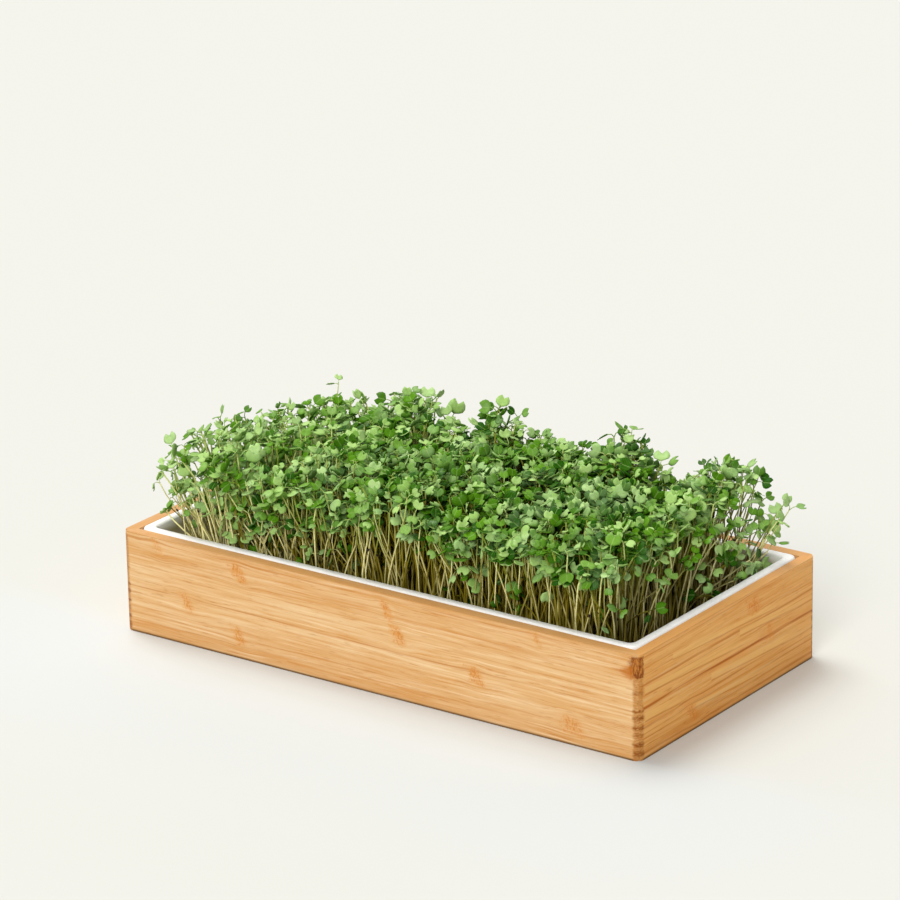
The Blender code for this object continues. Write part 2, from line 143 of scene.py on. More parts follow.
MOUNDS = (  # of the crop: x, y, width and rise
    (-0.155, -0.035, 0.03, 0.009), (-0.165, 0.02, 0.02, -0.004), (-0.135, 0.065, 0.024, -0.012),
    (-0.112, 0.02, 0.022, -0.003), (-0.098, 0.07, 0.014, 0.008), (-0.047, 0.07, 0.013, -0.019),
    (-0.026, 0.07, 0.01, 0.007), (-0.008, 0.07, 0.009, -0.012), (0.024, 0.07, 0.009, -0.008),
    (0.043, 0.07, 0.01, -0.014), (0.067, 0.07, 0.01, 0.01), (0.098, 0.07, 0.013, -0.022),
    (0.13, 0.06, 0.02, 0.004), (0.015, -0.075, 0.024, 0.006))
MOUND_TURN = math.radians(36)  # they run back towards the left
MOUND_RUN = 0.025
SLOPES = (  # past the crop's ends: fall, way along x and y, and where it starts
    (0.9, -1, 0, 0.158), (5.0, 1, 0, 0.1565), (2.5, 1, 1, 0.23))
SHADE_BELOW = 0.015  # from the leaves down, and in from the crop's loose left end, its right end and its long sides, to where the painted shade is full
SHADE_LEFT = 0.18  # right end and its long sides, to where it is fully dim
SHADE_RIGHT = 0.045
SHADE_SIDES = 0.016
CROP_LENGTH = 0.158  # half the sides of the standing crop
CROP_WIDTH = 0.078
LONERS = (  # sprouts that stand apart: root x and y, crown x, y and z, leaf length
    (0.152, 0.066, 0.1805, 0.07, 0.0985, 0.006), (0.151, 0.068, 0.1735, 0.07, 0.097, 0.0064),
    (0.152, 0.064, 0.174, 0.068, 0.092, 0.007), (0.151, 0.066, 0.166, 0.069, 0.08, 0.0064),
    (0.15, 0.058, 0.169, 0.069, 0.075, 0.006), (0.15, 0.044, 0.159, 0.06, 0.081, 0.0062),
    (0.149, 0.062, 0.16, 0.069, 0.087, 0.0064), (0.148, 0.05, 0.154, 0.06, 0.074, 0.0058),
    (0.15, 0.06, 0.1655, 0.066, 0.0785, 0.0068), (0.15, 0.048, 0.1625, 0.055, 0.068, 0.0058),
    (0.143, 0.016, 0.158, 0.054, 0.064, 0.0058), (0.148, 0.042, 0.156, 0.024, 0.073, 0.006),
    (0.146, 0.006, 0.157, 0.0165, 0.069, 0.006), (0.15, -0.004, 0.159, -0.002, 0.088, 0.0066),
    (0.149, 0.004, 0.158, 0.008, 0.097, 0.0064), (0.15, 0.022, 0.16, 0.031, 0.086, 0.0064),
    (0.15, 0.036, 0.16, 0.046, 0.084, 0.0062), (0.148, -0.014, 0.157, -0.012, 0.105, 0.0066),
    (0.15, -0.02, 0.158, -0.023, 0.096, 0.0062), (0.15, 0.052, 0.159, 0.058, 0.09, 0.0062),
    (-0.143, 0.062, -0.143, 0.068, 0.1165, 0.0056), (-0.026, 0.062, -0.0245, 0.069, 0.12, 0.008),
    (0.07, 0.062, 0.072, 0.069, 0.125, 0.0066), (-0.151, -0.06, -0.168, -0.065, 0.101, 0.006),
    (-0.15, -0.064, -0.177, -0.0665, 0.0865, 0.0048), (-0.148, -0.066, -0.162, -0.068, 0.083, 0.0042),
    (-0.152, -0.02, -0.164, -0.022, 0.115, 0.0052), (-0.13, -0.066, -0.134, -0.071, 0.083, 0.0064),
    (-0.14, -0.067, -0.148, -0.07, 0.087, 0.0062), (-0.112, -0.064, -0.112, -0.07, 0.09, 0.006),
    (-0.103, -0.069, -0.121, -0.0725, 0.074, 0.0056), (-0.097, -0.067, -0.115, -0.0725, 0.08, 0.006),
    (-0.09, -0.069, -0.107, -0.073, 0.075, 0.0056), (-0.083, -0.068, -0.101, -0.073, 0.073, 0.0054),
    (-0.082, -0.066, -0.096, -0.072, 0.081, 0.006), (-0.072, -0.068, -0.088, -0.072, 0.085, 0.006),
    (-0.064, -0.069, -0.077, -0.0725, 0.0825, 0.0056), (-0.08, -0.07, -0.07, -0.073, 0.076, 0.0054),
    (-0.118, -0.069, -0.13, -0.0725, 0.076, 0.0056), (-0.098, -0.07, -0.09, -0.073, 0.074, 0.005))

MAT_STEP = 0.0022  # between points of the mat's rough top
MAT_LAYER = 0.0045  # between points up its sides
MAT_CORNER = 0.006
MAT_EDGE = 0.0015
MAT_MARGIN = 0.001  # the crop and the fibres come no nearer to the edge
LITTER_MARGIN = 0.004
FIBRES = 2600
FIBRE_LENGTHS = (0.003, 0.011)
FIBRE_RADII = (0.00007, 0.00017)
FIBRE_RISES = (0.0005, 0.0032)
CRUMBS = 700
CRUMB_SIZES = ((0.0006, 0.0017), (0.0005, 0.0013), (0.0004, 0.0009))
HULLS = 900  # on the mat, besides those that hang on stems
HULL_SIZE = (0.00095, 0.00075, 0.00055)
HULL_SHARE = 0.2  # of the sprouts, with a hull on the stem

CAMERA_AZIMUTH = 35.87
CAMERA_ELEVATION = 19.46
CAMERA_ROLL = -1.05
CAMERA_DISTANCE = 3.027
CAMERA_TARGET = (-0.20964, 0.27613, -0.00118)
CAMERA_LENS = 181.85

FLOOR_COLOUR = (0.638, 0.638, 0.6, 1.0)
FLOOR_PAINTED_COOL = (0.635, 0.654, 0.644, 1.0)  # in front, painted cooler to cancel the warm light that the board throws on the floor
SOFTBOX_SIDE = (-0.35, -0.85, 0.4)  # where the sky is brightest
SKY_LOW = 0.15
SKY_HIGH = 0.6
BACKDROP_SIDE = (-0.58, 0.8, 0.22)
BACKDROP_GLOW = 0.9
LAMPS = (  # direction, energy and width in degrees
    (Vector((0.42, -0.14, -1.0)), 2.05, 32),
    (Vector((-0.34, 1.0, -0.8)), 1.62, 26))

dice = random.Random(42)


# ---- shader expressions


class Value:
    """A shader socket. Arithmetic on it adds Math nodes to its tree."""

    def __init__(self, tree, socket):
        self.tree = tree
        self.socket = socket

    def math(self, operation, *others):
        node = self.tree.nodes.new("ShaderNodeMath")
        node.operation = operation
        for slot, value in zip(node.inputs, (self, *others)):
            feed(self.tree, slot, value)
        return Value(self.tree, node.outputs[0])

    def __add__(self, other):
        return self.math("ADD", other)

    def __sub__(self, other):
        return self.math("SUBTRACT", other)

    def __mul__(self, other):
        return self.math("MULTIPLY", other)

    def __truediv__(self, other):
        return self.math("DIVIDE", other)

    def __pow__(self, other):
        return self.math("POWER", other)

    def __abs__(self):
        return self.math("ABSOLUTE")


def feed(tree, slot, value):
    """Link a value to a socket, or set the socket."""
    if isinstance(value, Value):
        tree.links.new(value.socket, slot)
    else:
        slot.default_value = value


class Nodes:
    """Adds nodes to a tree."""

    def __init__(self, tree):
        self.tree = tree

    def node(self, kind, settings=None, values=None, output=0):
        """Add any node: its settings first, then its sockets by name or number."""
        made = self.tree.nodes.new(kind)
        for key, setting in (settings or {}).items():
            setattr(made, key, setting)
        for key, value in (values or {}).items():
            feed(self.tree, made.inputs[key], value)
        return Value(self.tree, made.outputs[output])


class Finish(Nodes):
    """A material on its Principled shader."""

    def __init__(self, name, **constants):
        self.material = bpy.data.materials.new(name)
        self.material.use_nodes = True
        super().__init__(self.material.node_tree)
        self.shader = self.tree.nodes["Principled BSDF"]
        self.put(**constants)

    def put(self, **values):
        """Feed the Principled shader. An underscore in a key stands for a blank."""
        for key, value in values.items():
            feed(self.tree, self.shader.inputs[key.replace("_", " ")], value)

    def split(self, kind, value):
        """The three parts of a vector or a colour."""
        return [self.node(kind, values={0: value}, output=i) for i in range(3)]

    def spot(self):
        """Object coordinates as one vector."""
        return self.node("ShaderNodeTexCoord", output=3)

    def place(self):
        """Object coordinates as three values."""
        return self.split("ShaderNodeSeparateXYZ", self.spot())

    def noise(self, vector, scale=1.0, detail=2.0, roughness=0.5, distortion=0.0):
        return self.node("ShaderNodeTexNoise", values={
            "Vector": vector, "Scale": scale, "Detail": detail,
            "Roughness": roughness, "Distortion": distortion})

    def grain(self, x, y, z, detail=2.0, roughness=0.5):
        """Noise over three values, which may each be scaled to draw it out along an axis."""
        vector = self.node("ShaderNodeCombineXYZ", values={0: x, 1: y, 2: z})
        return self.noise(vector, detail=detail, roughness=roughness)

    def step(self, value, low, high, to_low=0.0, to_high=1.0):
        """A smooth step of a value from one level to another."""
        return self.node("ShaderNodeMapRange", {"interpolation_type": "SMOOTHSTEP"}, {
            "Value": value, "From Min": low, "From Max": high, "To Min": to_low, "To Max": to_high})

    def mix(self, share, first, second, blend="MIX"):
        """Mix two colours."""
        return self.node("ShaderNodeMix", {"data_type": "RGBA", "blend_type": blend},
                         {0: share, 6: first, 7: second}, output=2)

    def tint(self, base, other, share, value, low, high):
        """Mix in up to a share of another colour as a value goes from one level to another."""
        return self.mix(self.step(value, low, high, 0.0, share), base, other)

    def bump(self, height, distance, strength):
        self.put(Normal=self.node("ShaderNodeBump", values={
            "Strength": strength, "Distance": distance, "Height": height}))


def linear(red, green, blue):
    """A display colour, 0 to 255, as the shader's linear colour."""
    levels = [level / 255 for level in (red, green, blue)]
    return tuple(v / 12.92 if v <= 0.04045 else ((v + 0.055) / 1.055) ** 2.4 for v in levels) + (1.0,)


# ---- materials


def bamboo_finish(name, axis, seed, tones, lines, knots, pale=(), knot_end=0, spill=0.0, painted_warm_shade=0.0):
    """Oiled bamboo laid up from flat strips, its fibres along one axis.

    Tones run from the bottom strip up, 0 pale to 1 orange. Each line is a height, a half-width
    and a strength. Each knot is a place along the board, a height, a half-length and a strength.
    Each pale band is a start, an end, a height and a half-width. A knot_end of 1 or -1 puts a
    knot over that end's top corner, and spill is how far its stain shows along the board.
    """
    made = Finish(name, Specular_IOR_Level=0.1, Coat_Weight=0.04, Coat_Roughness=0.35)
    x, y, z = made.place()
    along, depth, half = (y, x, HALF_WIDTH) if axis else (x, y, HALF_LENGTH)
    drift = made.grain(along * 8.0, seed, z * 45.0, detail=1.0)
    height = z + (drift - 0.5) * 0.0026
    blots = made.grain(along * 260.0, depth * 260.0 + seed, z * 260.0, detail=3.0, roughness=0.7) - 0.5
    knot_mask = z * 0.0
    for place, level, reach, strength in knots:
        du = (along - place + (z - level) * 0.45) / reach + blots * 1.1
        dv = (z - level) / (STRIP_HEIGHT * 0.56)
        away = (du * du + dv ** 4.0) ** 0.5
        height = height + made.step(away, 2.6, 0.0) * (z - level) * -0.22
        knot_mask = knot_mask.math("MAXIMUM", made.step(away, 1.35, 0.0) * strength)
    long_grain = made.grain(along * 13.0, depth * 160.0 + seed, height * 230.0, detail=3.0, roughness=0.65)
    fibre = made.grain(along * 38.0, depth * 900.0, height * 1050.0 + seed, detail=3.0, roughness=0.7)
    bands = made.grain(along * 9.0 + seed, depth * 90.0, height * 360.0, roughness=0.55)
    flecks = made.grain(along * 100.0, depth * 600.0, height * 1400.0 + seed, detail=1.0)
    painted_highlights = made.grain(along * 17.0 - seed, depth * 300.0, height * 640.0, roughness=0.6)
    # The tones of the strips, and the seams between them.
    light = linear(233, 197, 148)
    honey = linear(221, 172, 113)
    orange = linear(203, 135, 58)
    russet = linear(174, 98, 16)
    tone = z * 0.0 + tones[0]
    seam = z * 0.0
    for number in range(1, len(tones)):
        edge = STRIP_START + STRIP_HEIGHT * number
        tone = tone + made.step(z, edge - 0.0001, edge + 0.0001) * (tones[number] - tones[number - 1])
        contrast = 0.12 + 0.5 * abs(tones[number] - tones[number - 1])
        seam = seam + made.step(abs(z - edge), 0.00028, 0.00008) * contrast
    # Fibres, then dark lines and pale bands.
    colour = made.mix(made.step(long_grain, 0.3, 0.7), light, honey)
    colour = made.mix(tone * 0.62, colour, orange)
    colour = made.tint(colour, orange, 0.5, fibre, 0.46, 0.74)
    colour = made.tint(colour, light, 0.4, fibre, 0.48, 0.26)
    colour = made.tint(colour, orange, 0.46, bands, 0.56, 0.72)
    colour = made.tint(colour, light, 0.35, bands, 0.44, 0.3)
    colour = made.tint(colour, russet, 0.36, flecks, 0.62, 0.76)
    streak = z * 0.0
    for level, width, strength in lines:
        broken = made.grain(along * 16.0 + level * 900.0, seed, z * 500.0)
        own = made.step(abs(height - level), width, width * 0.15) * made.step(broken, 0.34, 0.54, 0.35, 1.0)
        streak = streak.math("MAXIMUM", own * strength)
    colour = made.mix(streak, colour, made.mix(streak * 0.95, orange, russet))
    for start, end, level, width in pale:
        sloped = (along - start) * -0.045 + level
        band = made.step(abs(z - sloped), width, width * 0.7)
        span = made.step(along, start, start + 0.0008) * made.step(along, end, end - 0.04)
        colour = made.mix(band * span * 0.6, colour, linear(232, 196, 140))
        under = made.step(abs(z - sloped + width * 1.15), width * 0.35, width * 0.05)
        colour = made.mix(under * span * 0.4, colour, russet)
    colour = made.mix(seam, colour, orange)
    # Knots, painted warm shade on the right board, painted highlights on single fibres, the darker top, and a
    # painted contact shadow at the foot.
    colour = made.tint(colour, linear(218, 148, 68), 0.55, knot_mask + blots * 1.2, 0.1, 0.95)
    grit = made.grain(along * 1150.0, depth * 900.0, z * 800.0 + seed)
    speck = made.step(grit, 0.47, 0.6) * made.step(knot_mask + blots * 1.3, 0.25, 0.85)
    colour = made.mix(speck * 0.66, colour, linear(202, 122, 42))
    # Painted shade: on the right board the colour turns warmer and loses blue, standing in for the dimmer,
    # warmer light on that side.
    colour = made.mix(painted_warm_shade, colour, (1.16, 0.98, 0.62, 1.0), "MULTIPLY")
    # Painted highlights: pale streaks along single fibres, warmer on the right board.
    painted_highlight_colour = made.mix(painted_warm_shade, linear(246, 216, 172), linear(236, 196, 136))
    colour = made.tint(colour, painted_highlight_colour, 0.6, painted_highlights, 0.5, 0.8)
    colour = made.tint(colour, linear(200, 146, 86), 0.72, z, FRAME_HEIGHT - 0.0007, FRAME_HEIGHT - 0.0002)
    # Painted contact shadow: the foot of each board darkened where it meets the floor.
    colour = made.tint(colour, linear(84, 58, 32), 0.85, z, 0.0018, 0.0004)
    # End grain and burns on the rounded corners.
    ragged = abs(along) + blots * 0.0022
    rounding = made.step(ragged, half - CORNER_RADIUS, half - CORNER_RADIUS * 0.62)
    rounding = rounding * made.step(z, FRAME_HEIGHT - 0.0012, FRAME_HEIGHT - 0.004)
    pores = made.grain(depth * 420.0 + seed, along * 420.0, z * 1500.0, detail=3.0, roughness=0.7)
    dashes = made.grain(seed, (depth + along) * 90.0, z * 420.0, detail=3.0, roughness=0.65)
    ends = made.mix(made.step(pores, 0.35, 0.65), linear(206, 152, 90), linear(168, 108, 46))
    ends = made.tint(ends, russet, 0.6, dashes, 0.5, 0.68)
    scorch = z * 0.0
    for level, reach, strength in BURNS:
        near = made.step(abs(z - level) + blots * 0.006, reach * 1.3, 0.0)
        scorch = scorch.math("MAXIMUM", near * strength)
    colour = made.mix(rounding * 0.84, colour, ends)
    scorch = scorch * made.step(pores, 0.34, 0.52, 0.45, 1.0)
    scorch = scorch * made.step(ragged, half - 0.0058, half - 0.0036)
    colour = made.mix(scorch, colour, linear(138, 70, 8))
    # The knot over a top corner.
    if knot_end:
        signed = along * knot_end
        bottom = FRAME_HEIGHT - 0.0145
        edge = signed + blots * 0.007
        blotch = made.step(edge, half - 0.0085 + 0.0035 * (1.0 - spill), half - 0.004)
        blotch = blotch * made.step(z + blots * 0.0036, bottom, bottom + 0.0012)
        blotch = blotch * made.step(z, FRAME_HEIGHT - 0.0002, FRAME_HEIGHT - 0.0022)
        grain = made.grain(along * 900.0, depth * 900.0, z * 260.0 + seed, detail=3.0, roughness=0.7)
        bark = made.mix(made.step(grain, 0.4, 0.6), linear(192, 122, 50), linear(122, 54, 2))
        colour = made.mix(blotch * 0.9, colour, bark)
        reach = (signed - half + 0.019) / 0.012
        lens = abs(z - (bottom + 0.0036)) / 0.0044
        halo = made.step(reach - lens * 0.7 + (fibre - 0.5) * 0.7 + blots * 0.5, 0.1, 0.8)
        halo = halo * made.step(signed, half - 0.003, half - 0.006)
        colour = made.mix(halo * spill, colour, linear(186, 104, 22))
    made.put(Base_Color=colour, Roughness=made.step(fibre, 0.2, 0.8, 0.4, 0.54))
    made.bump(fibre * 0.6 + bands * 0.4 - seam * 0.8 - streak * 0.3, distance=0.0002, strength=0.5)
    return made.material


def tray_finish():
    """White moulded plastic, faintly uneven and a little scuffed, with painted shade and a painted olive
    reflection of the crop on its inner wall.
    """
    made = Finish("tray_white", Specular_IOR_Level=0.5)
    x, y, z = made.place()
    cloud = made.noise(made.spot(), scale=26.0, detail=3.0)
    scuff = made.grain(x * 90.0, y * 90.0, z * 500.0, detail=4.0, roughness=0.7)
    white = made.mix(made.step(cloud, 0.3, 0.7), linear(246, 244, 241), linear(240, 239, 236))
    white = made.tint(white, linear(210, 211, 209), 0.14, scuff, 0.62, 0.78)
    # Painted shade and reflection: the inner wall above the mat is tinted olive-brown, as the crop shades it
    # and shows in it.
    damp_and_painted_shade = made.step(z, 0.044, 0.045) * made.step(z, 0.063, 0.057)
    white = made.mix(damp_and_painted_shade * made.step(cloud, 0.2, 0.8, 0.7, 0.95), white, linear(150, 134, 82))
    made.put(Base_Color=white, Roughness=made.step(scuff, 0.3, 0.8, 0.26, 0.46))
    made.bump(scuff, distance=0.00008, strength=0.35)
    return made.material


def mat_finish():
    """Damp coir: dark brown, matted, flecked with lighter fibre and reddish pith."""
    made = Finish("coir_mat_pith", Specular_IOR_Level=0.25)
    spot = made.spot()
    clods = made.noise(spot, scale=210.0, detail=4.0, roughness=0.65)
    strands = made.noise(spot, scale=620.0, detail=3.0, roughness=0.7, distortion=2.5)
    patches = made.noise(spot, scale=45.0)
    colour = made.mix(made.step(clods, 0.3, 0.7), linear(40, 28, 14), linear(104, 74, 42))
    colour = made.tint(colour, linear(116, 58, 34), 0.6, patches, 0.45, 0.7)
    colour = made.tint(colour, linear(156, 122, 78), 0.7, strands, 0.58, 0.72)
    made.put(Base_Color=colour, Roughness=made.step(clods, 0.3, 0.7, 0.78, 0.96))
    made.bump(clods + strands * 0.6, distance=0.0008, strength=0.8)
    return made.material


def strand_finish(name, dark, light, roughness):
    """Small dry bits whose tone drifts from place to place."""
    made = Finish(name, Specular_IOR_Level=0.3)
    spot = made.spot()
    tone = made.noise(spot, scale=320.0)
    grain = made.noise(spot, scale=2600.0)
    colour = made.mix(made.step(tone, 0.35, 0.65), dark, light)
    colour = made.tint(colour, dark, 0.4, grain, 0.5, 0.75)
    made.put(Base_Color=colour, Roughness=made.step(grain, 0.3, 0.7, roughness - 0.08, roughness + 0.06))
    made.bump(grain, distance=0.0001, strength=0.5)
    return made.material


def felt_finish():
    """Cream needled felt."""
    made = Finish("wick_felt_cream", Specular_IOR_Level=0.2)
    spot = made.spot()
    hairs = made.noise(spot, scale=1400.0, detail=3.0, roughness=0.7, distortion=1.5)
    damp_and_painted_shade = made.noise(spot, scale=60.0)
    colour = made.mix(made.step(hairs, 0.3, 0.7), linear(206, 200, 184), linear(232, 228, 216))
    colour = made.tint(colour, linear(176, 164, 138), 0.35, damp_and_painted_shade, 0.45, 0.75)
    made.put(Base_Color=colour, Roughness=made.step(hairs, 0.3, 0.7, 0.86, 0.98))
    made.bump(hairs, distance=0.0004, strength=0.8)
    return made.material


def sprout_finish():
    """Stems from straw to green, and seed leaves with pale veins.

    The growth attribute holds a tone, how leafy the point is and the leaf's underside, and its
    alpha the painted shade of the point's place. The blade map runs along a leaf in u and across it in v.
    """
    made = Finish("sprout_tissue", Specular_IOR_Level=0.02, Coat_Roughness=0.24,
                  Subsurface_Weight=0.06, Subsurface_Radius=(0.7, 1.0, 0.22), Subsurface_Scale=0.0016)
    growth = made.node("ShaderNodeAttribute", {"attribute_name": "growth"})
    painted_dimness = made.node("ShaderNodeAttribute", {"attribute_name": "growth"}, output=3)
    tone, leafy, under = made.split("ShaderNodeSeparateColor", growth)
    u, v = made.split("ShaderNodeSeparateXYZ", made.node("ShaderNodeUVMap", {"uv_map": "blade"}))[:2]
    z = made.place()[2]
    spot = made.spot()
    mottle = made.noise(spot, scale=520.0)
    patch = made.noise(spot, scale=48.0, detail=1.0)
    straw = made.mix(made.step(tone, 0.35, 0.85), linear(116, 106, 34), linear(250, 242, 176))
    stem = made.tint(straw, linear(142, 124, 52), 0.7, z, 0.066, 0.045)
    stem = made.tint(stem, linear(168, 196, 88), 0.6, z, 0.07, 0.11)
    stem = made.tint(stem, linear(118, 108, 34), 0.24, mottle, 0.42, 0.72)
    # Painted shade: stems darken to olive-brown deeper below the leaves and farther in from the crop's edges.
    stem = made.tint(stem, linear(142, 124, 28), 0.88, painted_dimness, 0.12, 0.9)
    deep = made.mix(made.step(tone, 0.0, 0.5), linear(30, 80, 0), linear(90, 142, 18))
    leaf = made.mix(made.step(tone, 0.42, 0.95), deep, linear(172, 207, 122))
    # Painted sheen: pale, whitish patches on the brighter leaves, standing in for highlights.
    painted_gleam = made.step(patch, 0.44, 0.68, 0.0, 0.5) * made.step(tone, 0.15, 0.6, 0.35, 1.0)
    painted_sheen = made.mix(painted_gleam, leaf, linear(184, 212, 154))
    leaf = made.tint(painted_sheen, linear(54, 104, 0), 0.2, mottle, 0.45, 0.75)
    # Painted shade: leaves darken to deep green lower in the canopy and farther in from the crop's edges.
    leaf = made.tint(leaf, linear(12, 48, 0), 0.92, painted_dimness, 0.15, 1.0)
    across = abs(v - 0.5)
    slant = (u - across * 0.9) * 5.0
    ribs = made.step(abs(slant.math("FRACT") - 0.5), 0.4, 0.5)
    middle = made.step(across, 0.045, 0.012)
    veins = middle.math("MAXIMUM", ribs * 0.45)
    leaf = made.mix(veins * 0.35, leaf, linear(170, 200, 122))
    # Painted shade: the undersides lean towards a darker green.
    leaf = made.mix(under * 0.3, leaf, linear(60, 108, 22))
    wax = made.step(painted_dimness, 0.4, 0.0, 0.0, 0.14) * made.step(patch, 0.3, 0.6, 0.4, 1.0)
    made.put(Base_Color=made.mix(leafy, stem, leaf), Roughness=made.step(leafy, 0.0, 1.0, 0.5, 0.38),
             Coat_Weight=wax * leafy)
    made.bump(veins * -0.5 + mottle * 0.5, distance=0.00012, strength=0.5)
    return made.material


# ---- modelling helpers


def add_primitive(operator, name, **settings):
    """Add a primitive with nothing else selected."""
    bpy.ops.object.select_all(action="DESELECT")
    operator(**settings)
    made = bpy.context.object
    made.name = name
    return made


def edit(made):
    bpy.ops.object.select_all(action="DESELECT")
    bpy.context.view_layer.objects.active = made
    made.select_set(True)
    bpy.ops.object.mode_set(mode="EDIT")


def leave_edit():
    bpy.ops.object.mode_set(mode="OBJECT")


def select_all():
    bpy.ops.mesh.select_all(action="SELECT")


def choose(made, test, kind="VERT"):
    """In edit mode, select the vertices or edges whose middle passes a test."""
    bpy.ops.mesh.select_mode(type=kind)
    bpy.ops.mesh.select_all(action="DESELECT")
    bm = bmesh.from_edit_mesh(made.data)
    for item in bm.verts if kind == "VERT" else bm.edges:
        middle = item.co if kind == "VERT" else (item.verts[0].co + item.verts[1].co) / 2
        item.select = bool(test(middle))
    bm.select_flush_mode()
    bmesh.update_edit_mesh(made.data)


def shift(made, *moves):
    """In edit mode, move the vertices that pass each test, one move after another."""
    for test, move in moves:
        choose(made, test)
        bpy.ops.transform.translate(value=move)


def cut(place, normal):
    """In edit mode, cut the whole mesh across at a place."""
    select_all()
    bpy.ops.mesh.bisect(plane_co=place, plane_no=normal, use_fill=False)


def apply_modifier(made, kind, **settings):
    modifier = made.modifiers.new(kind.title(), kind)
    for key, value in settings.items():
        setattr(modifier, key, value)
    bpy.context.view_layer.objects.active = made
    bpy.ops.object.modifier_apply(modifier=modifier.name)


def read_shape(made):
    """Points and faces of a modelled shape, which is then removed."""
    mesh = made.data
    points = np.empty(len(mesh.vertices) * 3)
    mesh.vertices.foreach_get("co", points)
    faces = [tuple(face.vertices) for face in mesh.polygons]
    bpy.data.objects.remove(made, do_unlink=True)
    return points.reshape(-1, 3), faces


def settle(piece, slot, *nodes):
    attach(piece, ROOT)
    if nodes:
        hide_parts(*nodes)


def smooth_copy(node, name, material, sharp_angle, slot, *shifts):
    """A copy of a CAD node with its doubles merged and its round edges shaded smooth."""
    made = bpy.data.objects.new(name, frame["nodes"][node].data.copy())
    made.data.name = name
    bpy.context.collection.objects.link(made)
    edit(made)
    bpy.ops.mesh.customdata_custom_splitnormals_clear()
    select_all()
    bpy.ops.mesh.remove_doubles(threshold=0.00002)
    shift(made, *shifts)
    leave_edit()
    bpy.ops.object.shade_smooth_by_angle(angle=math.radians(sharp_angle))
    made.data.materials.clear()
    made.data.materials.append(material)
    settle(made, slot, node)


class Heap:
    """Gathers many placed copies of small shapes into one mesh."""

    def __init__(self):
        self.points = []
        self.faces = []
        self.growth = []
        self.blade = []
        self.count = 0

    def add(self, points, faces, growth=None, blade=None):
        self.points.append(points)
        self.faces += [tuple(corner + self.count for corner in face) for face in faces]
        self.count += len(points)
        if growth is not None:
            self.growth.append(growth)
            self.blade.append(blade)

    def build(self, name, material):
        mesh = bpy.data.meshes.new(name)
        mesh.from_pydata(np.concatenate(self.points), [], self.faces)
        mesh.shade_smooth()
        if self.growth:
            colours = mesh.attributes.new("growth", "FLOAT_COLOR", "POINT")
            colours.data.foreach_set("color", np.concatenate(self.growth).astype(np.float32).ravel())
            corners = np.empty(len(mesh.loops), dtype=np.int32)
            mesh.loops.foreach_get("vertex_index", corners)
            chart = mesh.uv_layers.new(name="blade")
            chart.data.foreach_set("uv", np.concatenate(self.blade)[corners].astype(np.float32).ravel())
        mesh.materials.append(material)
        made = bpy.data.objects.new(name, mesh)
        bpy.context.collection.objects.link(made)
        return made


def turned(points, turn, tilt, roll):
    """Points turned by a roll about X, a tilt about Y and a turn about Z."""
    rotation = Matrix.Rotation(turn, 3, "Z") @ Matrix.Rotation(tilt, 3, "Y") @ Matrix.Rotation(roll, 3, "X")
    return points @ np.array(rotation).T


def tumbled(points, tilt, roll):
    """Points turned at random, with at most so much tilt and roll."""
    return turned(points, dice.uniform(0, math.tau), dice.uniform(-tilt, tilt), dice.uniform(-roll, roll))


def astray(reach):
    """A random step aside, level with the ground."""
    return Vector((dice.uniform(-reach, reach), dice.uniform(-reach, reach), 0))


def clamp(value, low, high):
    return min(max(value, low), high)


# ---- frame and tray


def mitre_shift(axis, sign):
    """A test of a board's points at one end's mitre, and the move that closes it."""
    def on_mitre(place):
        apart = (abs(place.x) - HALF_LENGTH) - (abs(place.y) - HALF_WIDTH)
        return abs(apart) < MITRE_REACH and place[axis] * sign > 0

    return on_mitre, [sign * MITRE_CLOSING if number == axis else 0.0 for number in range(3)]


def make_frame():
    for side, axis, looks in BOARDS:
        finish = bamboo_finish(f"bamboo_{side}", axis, **looks)
        smooth_copy(f"frame_{side}", f"board_{side}", finish, WOOD_SHARP, "bamboo",
                    mitre_shift(axis, -1), mitre_shift(axis, 1))


def make_tray():
    smooth_copy("tray", "tray_shell", tray_finish(), TRAY_SHARP, "white_tray")


# ---- mat


def rough(point, size, depth):
    """Smooth noise at a place, with waves of a size and up to a depth."""
    return noise.noise(Vector(point) / size) * depth


def make_mat():
    """A slab of matted coir, finely cut and then roughened. Returns its upper corner."""
    low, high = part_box("coir_mat")
    size = high - low
    middle = (low + high) / 2
    made = add_primitive(bpy.ops.mesh.primitive_cube_add, "growing_mat", size=1.0, location=middle,
                         scale=size)
    bpy.ops.object.transform_apply(location=True, rotation=True, scale=True)
    edit(made)
    choose(made, lambda m: abs(m.z - middle.z) < 0.001, "EDGE")
    bpy.ops.mesh.bevel(offset=MAT_CORNER, segments=4, affect="EDGES")
    for axis, step in enumerate((MAT_STEP, MAT_STEP, MAT_LAYER)):
        normal = [0, 0, 0]
        normal[axis] = 1
        for number in range(1, int(size[axis] / step)):
            place = list(middle)
            place[axis] = low[axis] + number * step
            cut(place, normal)
    leave_edit()
    for vertex in made.data.vertices:
        co = vertex.co
        depth = rough(co, 0.006, 0.001) + rough(co, 0.0024, 0.0008)
        if co.z > high.z - 0.0001:
            at_side = min(high.x - abs(co.x), high.y - abs(co.y)) < MAT_EDGE
            co.z += depth - 0.0006 - (0.0012 if at_side else 0.0)
        elif co.z > low.z + 0.0001:
            axis = 0 if abs(co.x) > high.x - 0.002 else 1
            co[axis] -= math.copysign(0.0004 + abs(depth) * 0.5, co[axis])
    made.data.shade_smooth()
    made.data.materials.append(mat_finish())
    settle(made, "coir", "coir_mat")
    return high


def strand_shape(sides, cuts):
    """A thin tube of unit height, cut across so that it can bend."""
    made = add_primitive(bpy.ops.mesh.primitive_cylinder_add, "strand", vertices=sides, radius=1.0, depth=1.0,
                         location=(0, 0, 0.5))
    bpy.ops.object.transform_apply(location=True, rotation=True, scale=True)
    edit(made)
    for number in range(1, cuts + 1):
        cut((0, 0, number / (cuts + 1)), (0, 0, 1))
    leave_edit()
    return read_shape(made)


